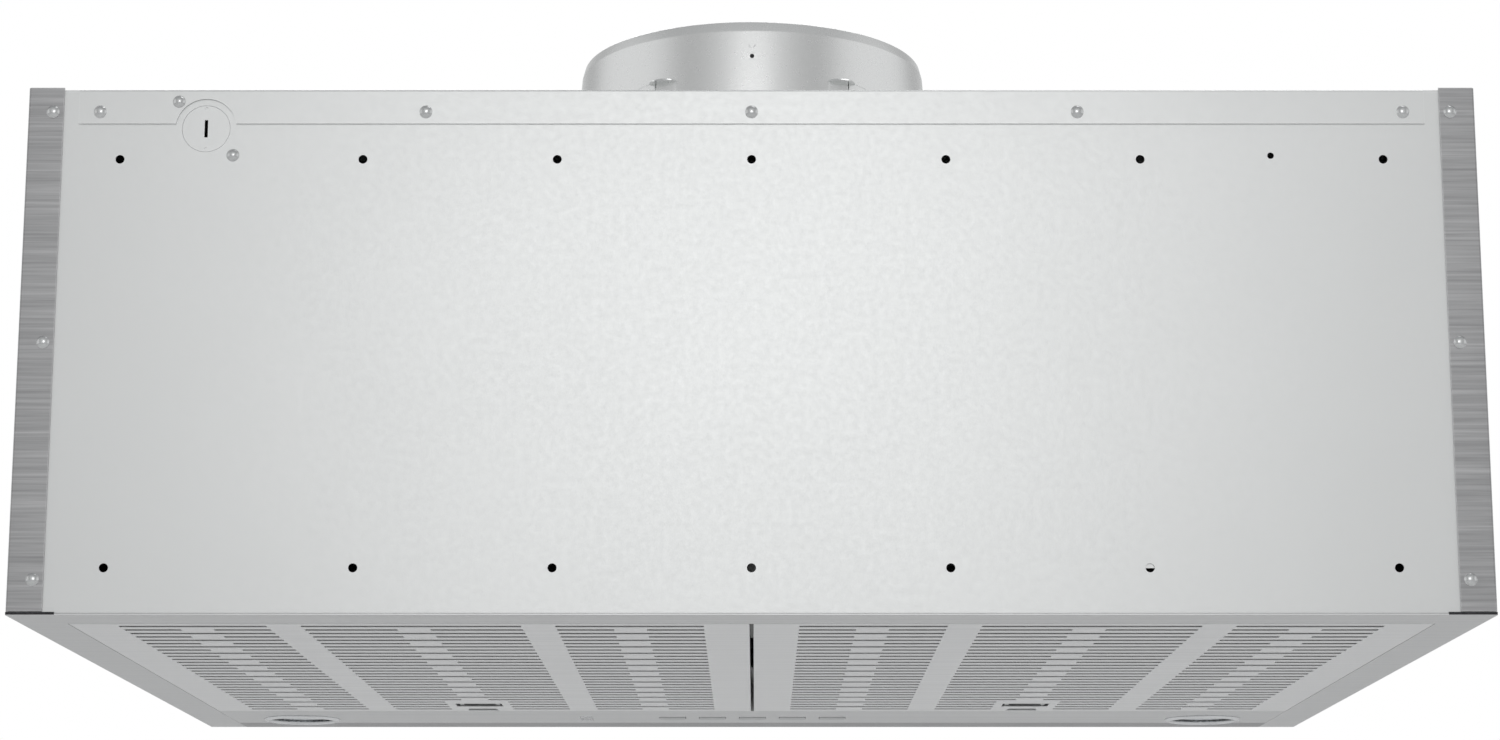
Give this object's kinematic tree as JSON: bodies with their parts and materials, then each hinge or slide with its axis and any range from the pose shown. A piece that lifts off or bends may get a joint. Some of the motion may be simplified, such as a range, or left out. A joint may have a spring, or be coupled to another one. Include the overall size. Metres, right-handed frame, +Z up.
{
  "type": "range hood",
  "caption": "Box-shaped range hood body with a round top duct collar, twin slotted swing-down filters, two lamps, push buttons and an internal centrifugal blower.",
  "frame": {"origin": "middle of the underside, halfway between the back and the front", "axes": "+Z up, the mounting back looks along +Y, the user stands at -Y, +X to that user's right"},
  "size_m": [0.873, 0.6862, 0.4571],
  "materials": {
    "galvanised_sheet": "matt galvanised sheet",
    "duct_collar": "smooth galvanised collar",
    "brushed_stainless": "brushed along X",
    "filter_steel": "satin stainless",
    "filter_aluminium": "mill finish",
    "latch_steel": "satin stainless",
    "screw_steel": "zinc plated",
    "damper_metal": "mill finish",
    "foam_seal": "closed-cell foam",
    "lamp_chrome": "polished",
    "lamp_glass": "clear",
    "lamp_can": "die cast",
    "led": "phosphor on white board",
    "button_plastic": "satin metallic paint",
    "carrier_plastic": "moulded",
    "circuit_board": "green solder mask",
    "window": "tinted",
    "motor_case": "black enamel",
    "wheel": "moulded",
    "capacitor": "moulded",
    "cable": "PVC sheath"
  },
  "bodies": {
    "casing": {"blower_motor": "motor_case", "blower_mount_plate": "galvanised_sheet", "blower_screws": "screw_steel", "blower_scroll": "galvanised_sheet", "bottom_frame": "brushed_stainless", "box_rivets": "screw_steel", "button_carrier": "carrier_plastic", "collar_screws": "screw_steel", "control_board": "circuit_board", "control_panel": "brushed_stainless", "damper_pin": "screw_steel", "damper_seal": "foam_seal", "duct_collar": "duct_collar", "filter_rest": "galvanised_sheet", "front_panel": "brushed_stainless", "junction_box": "galvanised_sheet", "junction_box_cover": "galvanised_sheet", "knockout_disk": "galvanised_sheet", "led_driver": "carrier_plastic", "led_modules": "led", "left_inlet_plate": "galvanised_sheet", "left_lamp_bezel": "lamp_chrome", "left_lamp_can": "lamp_can", "left_lamp_lens": "lamp_glass", "left_lamp_reflector": "lamp_chrome", "left_side_panel": "brushed_stainless", "motor_bracket": "galvanised_sheet", "rear_brace": "galvanised_sheet", "rear_panel": "galvanised_sheet", "rear_screws": "screw_steel", "right_inlet_plate": "galvanised_sheet", "right_lamp_bezel": "lamp_chrome", "right_lamp_can": "lamp_can", "right_lamp_lens": "lamp_glass", "right_lamp_reflector": "lamp_chrome", "right_side_panel": "brushed_stainless", "run_capacitor": "capacitor", "supply_cable": "cable", "terminal_block": "carrier_plastic", "top_panel": "galvanised_sheet", "window_lens": "window"},
    "left_filter": {"left_filter_face": "filter_steel", "left_filter_baffle": "filter_aluminium", "left_filter_cover": "filter_aluminium", "left_latch_spring": "latch_steel"},
    "right_filter": {"right_filter_face": "filter_steel", "right_filter_baffle": "filter_aluminium", "right_filter_cover": "filter_aluminium", "right_latch_spring": "latch_steel"},
    "left_latch": {"left_latch": "latch_steel"},
    "right_latch": {"right_latch": "latch_steel"},
    "left_flap": {"left_damper_flap": "damper_metal"},
    "right_flap": {"right_damper_flap": "damper_metal"},
    "fan_wheel": {"impeller": "wheel", "motor_shaft": "screw_steel"},
    "light_button_key": {"light_button": "button_plastic"},
    "fan_off_button_key": {"fan_off_button": "button_plastic"},
    "fan_low_button_key": {"fan_low_button": "button_plastic"},
    "fan_medium_button_key": {"fan_medium_button": "button_plastic"},
    "fan_high_button_key": {"fan_high_button": "button_plastic"}
  },
  "joints": [
    {"name": "left_filter_swing", "type": "hinge", "parent": "casing", "child": "left_filter", "pos_m": [-0.2046, 0.303, 0.0012], "axis": [1, 0, 0], "range_deg": [0, 60]},
    {"name": "left_latch_slide", "type": "slide", "parent": "left_filter", "child": "left_latch", "axis": [0, 1, 0], "range_m": [0, 0.007], "stiffness_N_per_m": 400, "springref_m": -0.006, "deforming": ["left_latch_spring"]},
    {"name": "right_filter_swing", "type": "hinge", "parent": "casing", "child": "right_filter", "pos_m": [0.2046, 0.303, 0.0012], "axis": [1, 0, 0], "range_deg": [0, 60]},
    {"name": "right_latch_slide", "type": "slide", "parent": "right_filter", "child": "right_latch", "axis": [0, 1, 0], "range_m": [0, 0.007], "stiffness_N_per_m": 400, "springref_m": -0.006, "deforming": ["right_latch_spring"]},
    {"name": "left_flap_swing", "type": "hinge", "parent": "casing", "child": "left_flap", "pos_m": [0, -0.053, 0.429], "axis": [0, 1, 0], "range_deg": [0, 78]},
    {"name": "right_flap_swing", "type": "hinge", "parent": "casing", "child": "right_flap", "pos_m": [0, -0.053, 0.429], "axis": [0, -1, 0], "range_deg": [0, 78]},
    {"name": "fan_spin", "type": "hinge", "parent": "casing", "child": "fan_wheel", "pos_m": [0, 0.041, 0.16], "axis": [1, 0, 0], "continuous": true},
    {"name": "light_button_press", "type": "slide", "parent": "casing", "child": "light_button_key", "axis": [0, 0, 1], "range_m": [0, 0.0012], "stiffness_N_per_m": 500, "springref_m": -0.002},
    {"name": "fan_off_button_press", "type": "slide", "parent": "casing", "child": "fan_off_button_key", "axis": [0, 0, 1], "range_m": [0, 0.0012], "stiffness_N_per_m": 500, "springref_m": -0.002},
    {"name": "fan_low_button_press", "type": "slide", "parent": "casing", "child": "fan_low_button_key", "axis": [0, 0, 1], "range_m": [0, 0.0012], "stiffness_N_per_m": 500, "springref_m": -0.002},
    {"name": "fan_medium_button_press", "type": "slide", "parent": "casing", "child": "fan_medium_button_key", "axis": [0, 0, 1], "range_m": [0, 0.0012], "stiffness_N_per_m": 500, "springref_m": -0.002},
    {"name": "fan_high_button_press", "type": "slide", "parent": "casing", "child": "fan_high_button_key", "axis": [0, 0, 1], "range_m": [0, 0.0012], "stiffness_N_per_m": 500, "springref_m": -0.002}
  ]
}
